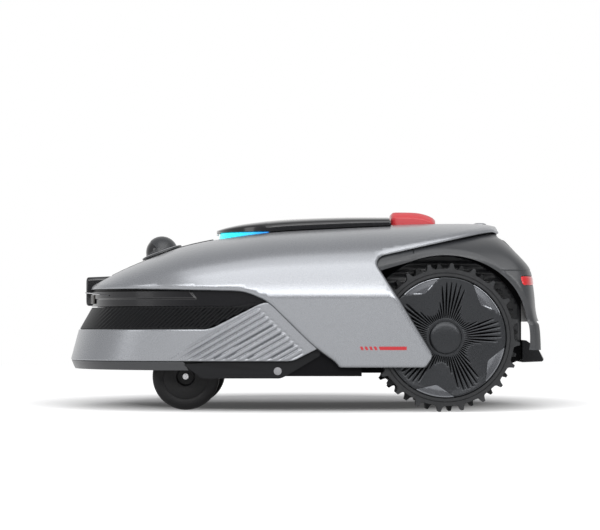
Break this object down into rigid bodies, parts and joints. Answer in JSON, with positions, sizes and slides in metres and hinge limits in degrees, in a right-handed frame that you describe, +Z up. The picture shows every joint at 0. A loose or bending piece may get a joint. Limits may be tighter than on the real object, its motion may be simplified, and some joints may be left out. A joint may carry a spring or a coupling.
{
  "type": "robotic lawn mower",
  "caption": "Low four-wheeled robotic lawn mower: silver shell, lugged rear drive wheels, front casters, hinged lid, red stop button, sensor dome, sprung bumper and height-adjusted blade disc.",
  "frame": {"origin": "on the ground under the middle of the machine's bounding box", "axes": "+X towards the rear, -X is forward, -Y is the machine's left side, +Z up"},
  "size_m": [0.6604, 0.436, 0.2708],
  "materials": {
    "silver_paint": "satin metallic silver paint on moulded plastic",
    "dark_grey": "satin dark grey moulded plastic",
    "black_plastic": "fine grained black plastic",
    "gloss_black": "polished black plastic",
    "tyre_rubber": "matte black moulded rubber",
    "caster_rubber": "matte black rubber",
    "red_plastic": "satin red plastic",
    "tail_red": "clear red lens",
    "light_strip": "frosted light guide, cyan to blue",
    "steel": "brushed steel",
    "blade_steel": "ground steel",
    "contact_brass": "plated contact metal",
    "board_green": "green circuit board",
    "grey_plastic": "mid grey plastic",
    "motor_metal": "cast motor housing",
    "battery_case": "sealed battery case"
  },
  "bodies": {
    "chassis": {"chassis_tub": "black_plastic", "top_shell": "silver_paint", "hood_strip": "black_plastic", "rain_sensor": "gloss_black", "camera_housing": "gloss_black", "camera_window": "gloss_black", "camera_visor": "dark_grey", "lidar_base": "dark_grey", "lidar_dome": "gloss_black", "front_fascia": "gloss_black", "charge_contact_left": "contact_brass", "charge_contact_right": "contact_brass", "bumper_guide_left": "steel", "bumper_guide_right": "steel", "side_plate_left": "black_plastic", "side_plate_right": "black_plastic", "rear_shell": "dark_grey", "tail_light_left": "tail_red", "tail_light_right": "tail_red", "rear_panel": "gloss_black", "rear_flap": "black_plastic", "light_strip": "light_strip", "control_deck": "black_plastic", "stop_switch": "grey_plastic", "display_screen": "gloss_black", "drive_motor_left": "motor_metal", "drive_motor_right": "motor_metal", "caster_bush_left": "contact_brass", "caster_bush_right": "contact_brass", "lift_post_front": "steel", "lift_post_rear": "steel", "lift_motor": "motor_metal", "battery_pack": "battery_case", "main_board": "board_green"},
    "bumper": {"front_bumper": "silver_paint", "grille_band": "black_plastic", "bumper_lip": "dark_grey"},
    "lid": {"control_lid": "gloss_black", "lid_hinge_pin": "steel"},
    "stop_button": {"stop_button": "red_plastic"},
    "key_power": {"key_power": "grey_plastic"},
    "key_start": {"key_start": "grey_plastic"},
    "key_home": {"key_home": "grey_plastic"},
    "lidar_rotor": {"lidar_rotor": "grey_plastic"},
    "cutting_deck": {"deck_carrier": "grey_plastic", "blade_motor": "motor_metal"},
    "blade_disc": {"blade_disc": "black_plastic"},
    "blade_1": {"blade_1": "blade_steel"},
    "blade_2": {"blade_2": "blade_steel"},
    "blade_3": {"blade_3": "blade_steel"},
    "drive_wheel_left": {"tyre_left": "tyre_rubber", "wheel_disc_left": "dark_grey", "hub_cap_left": "black_plastic"},
    "caster_left": {"caster_fork_left": "steel"},
    "caster_wheel_left": {"caster_wheel_left": "caster_rubber"},
    "drive_wheel_right": {"tyre_right": "tyre_rubber", "wheel_disc_right": "dark_grey", "hub_cap_right": "black_plastic"},
    "caster_right": {"caster_fork_right": "steel"},
    "caster_wheel_right": {"caster_wheel_right": "caster_rubber"}
  },
  "joints": [
    {"name": "bumper_slide", "type": "slide", "parent": "chassis", "child": "bumper", "axis": [1, 0, 0], "range_m": [0, 0.006], "stiffness_N_per_m": 1500, "springref_m": -0.004},
    {"name": "lid_hinge", "type": "hinge", "parent": "chassis", "child": "lid", "pos_m": [-0.1266, 0, 0.2404], "axis": [0, -1, 0], "range_deg": [0, 65]},
    {"name": "stop_press", "type": "slide", "parent": "chassis", "child": "stop_button", "axis": [0, 0, -1], "range_m": [0, 0.004], "stiffness_N_per_m": 800, "springref_m": -0.002},
    {"name": "key_power_press", "type": "slide", "parent": "chassis", "child": "key_power", "axis": [0, 0, -1], "range_m": [0, 0.0015], "stiffness_N_per_m": 400, "springref_m": -0.001},
    {"name": "key_start_press", "type": "slide", "parent": "chassis", "child": "key_start", "axis": [0, 0, -1], "range_m": [0, 0.0015], "stiffness_N_per_m": 400, "springref_m": -0.001},
    {"name": "key_home_press", "type": "slide", "parent": "chassis", "child": "key_home", "axis": [0, 0, -1], "range_m": [0, 0.0015], "stiffness_N_per_m": 400, "springref_m": -0.001},
    {"name": "lidar_spin", "type": "hinge", "parent": "chassis", "child": "lidar_rotor", "pos_m": [-0.2035, 0, 0.21165], "axis": [-0.342, 0, 0.9397], "continuous": true},
    {"name": "drive_wheel_left_spin", "type": "hinge", "parent": "chassis", "child": "drive_wheel_left", "pos_m": [0.1805, -0.17, 0.098], "axis": [0, 1, 0], "continuous": true},
    {"name": "caster_left_swivel", "type": "hinge", "parent": "chassis", "child": "caster_left", "pos_m": [-0.183, -0.118, 0.1], "axis": [0, 0, 1], "continuous": true},
    {"name": "caster_left_roll", "type": "hinge", "parent": "caster_left", "child": "caster_wheel_left", "pos_m": [-0.165, -0.118, 0.045], "axis": [0, 1, 0], "continuous": true},
    {"name": "drive_wheel_right_spin", "type": "hinge", "parent": "chassis", "child": "drive_wheel_right", "pos_m": [0.1805, 0.17, 0.098], "axis": [0, 1, 0], "continuous": true},
    {"name": "caster_right_swivel", "type": "hinge", "parent": "chassis", "child": "caster_right", "pos_m": [-0.183, 0.118, 0.1], "axis": [0, 0, 1], "continuous": true},
    {"name": "caster_right_roll", "type": "hinge", "parent": "caster_right", "child": "caster_wheel_right", "pos_m": [-0.165, 0.118, 0.045], "axis": [0, 1, 0], "continuous": true},
    {"name": "cut_height", "type": "slide", "parent": "chassis", "child": "cutting_deck", "axis": [0, 0, 1], "range_m": [-0.036, 0]},
    {"name": "blade_disc_spin", "type": "hinge", "parent": "cutting_deck", "child": "blade_disc", "pos_m": [0.01, 0, 0.066], "axis": [0, 0, 1], "continuous": true},
    {"name": "blade_1_pivot", "type": "hinge", "parent": "blade_disc", "child": "blade_1", "pos_m": [0.08275, 0.042, 0.0618], "axis": [0, 0, 1], "continuous": true},
    {"name": "blade_2_pivot", "type": "hinge", "parent": "blade_disc", "child": "blade_2", "pos_m": [-0.06275, 0.042, 0.0618], "axis": [0, 0, 1], "continuous": true},
    {"name": "blade_3_pivot", "type": "hinge", "parent": "blade_disc", "child": "blade_3", "pos_m": [0.01, -0.084, 0.0618], "axis": [0, 0, 1], "continuous": true}
  ]
}
